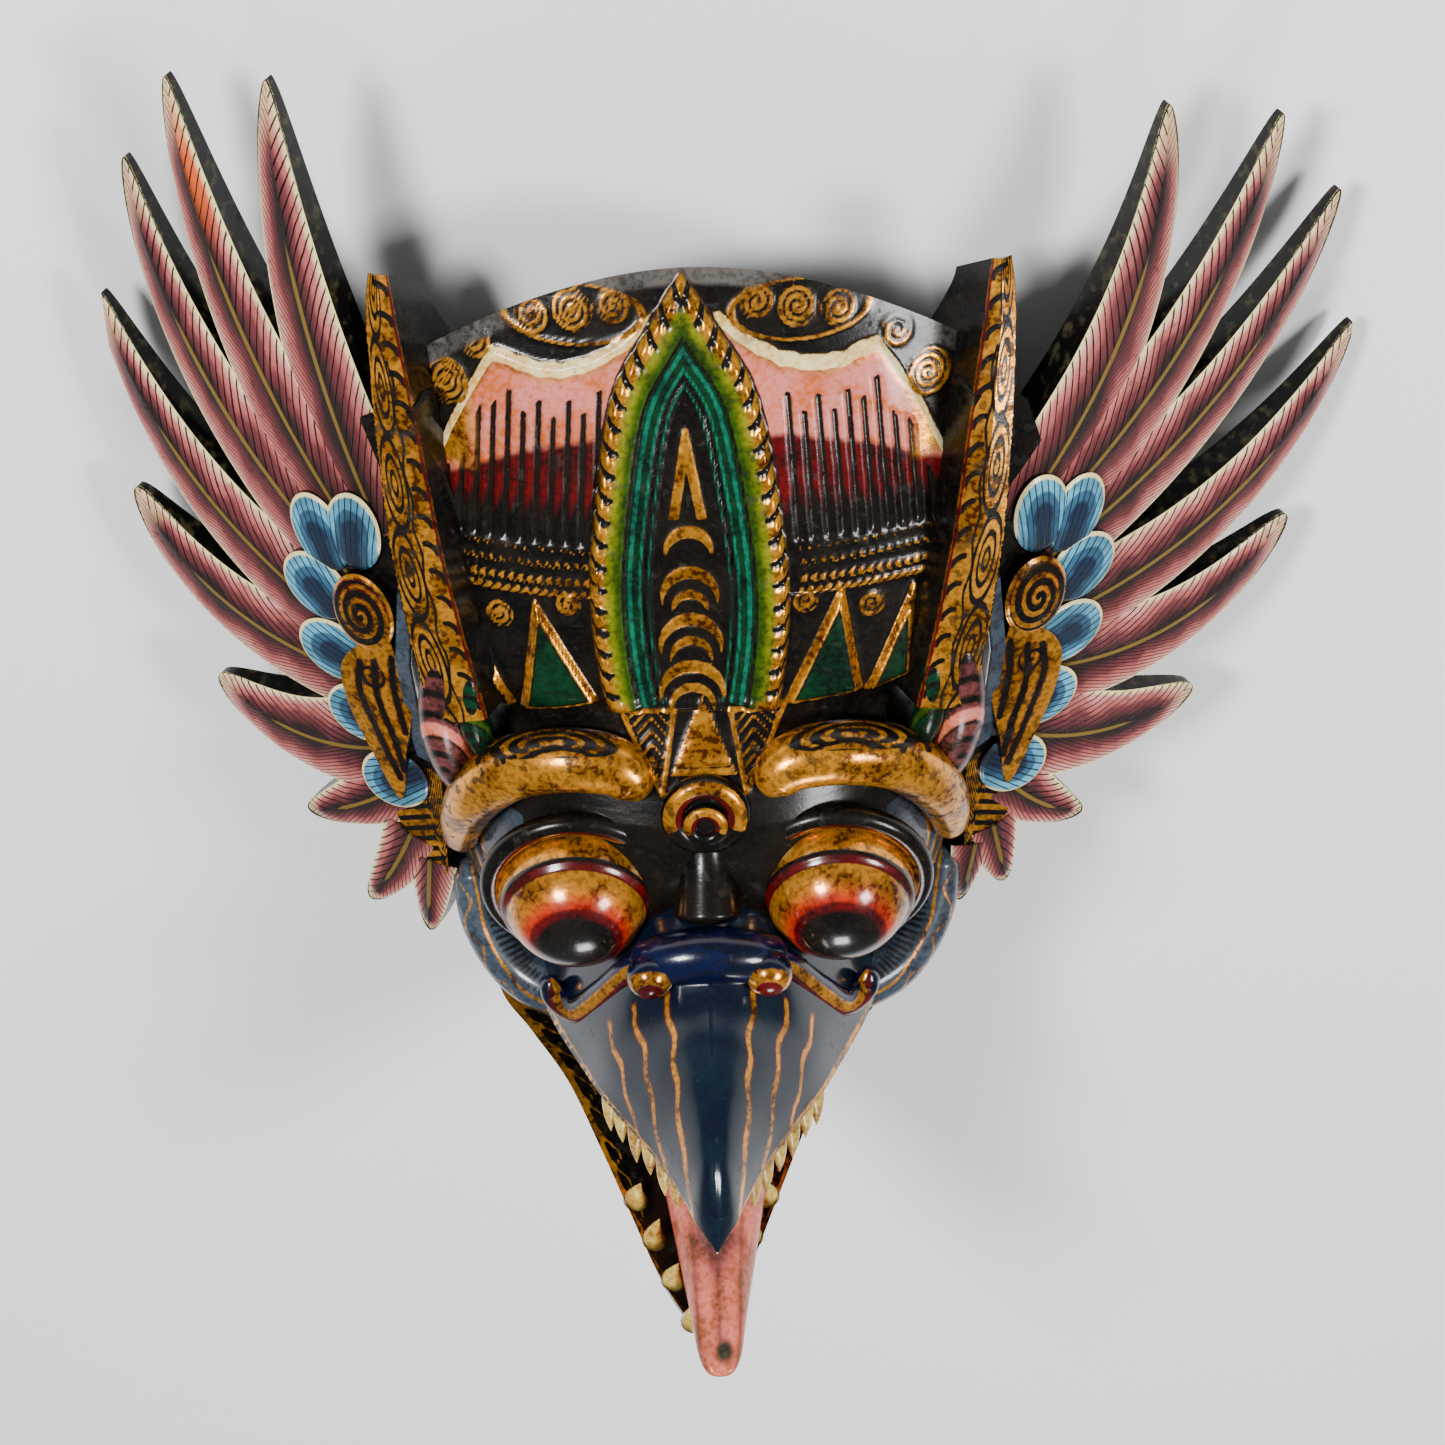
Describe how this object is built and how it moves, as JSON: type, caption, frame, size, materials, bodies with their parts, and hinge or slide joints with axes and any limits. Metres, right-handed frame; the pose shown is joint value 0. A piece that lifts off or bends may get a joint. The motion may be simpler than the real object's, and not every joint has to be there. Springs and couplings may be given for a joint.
{
  "type": "carved garuda mask",
  "caption": "Carved and painted wooden garuda mask with flared crown, bulging eyes, open beak with teeth and tongue, feathered side wings and a hollow open back",
  "frame": {"origin": "middle of the mask's box in X and Y, at the plane of the open back's rim that it lies on", "axes": "+Y from the jaw to the crown, +Z out of the face, +X to the right of someone who looks at the face"},
  "size_m": [0.4172, 0.4162, 0.231],
  "materials": {
    "head_paint": "carved wood under glossy black, gold and coloured lacquer",
    "wing_paint": "carved wood under glossy pink, maroon, cream and blue lacquer"
  },
  "bodies": {
    "root": {"mask_head": "head_paint", "wing_left": "wing_paint", "wing_right": "wing_paint"}
  },
  "joints": []
}
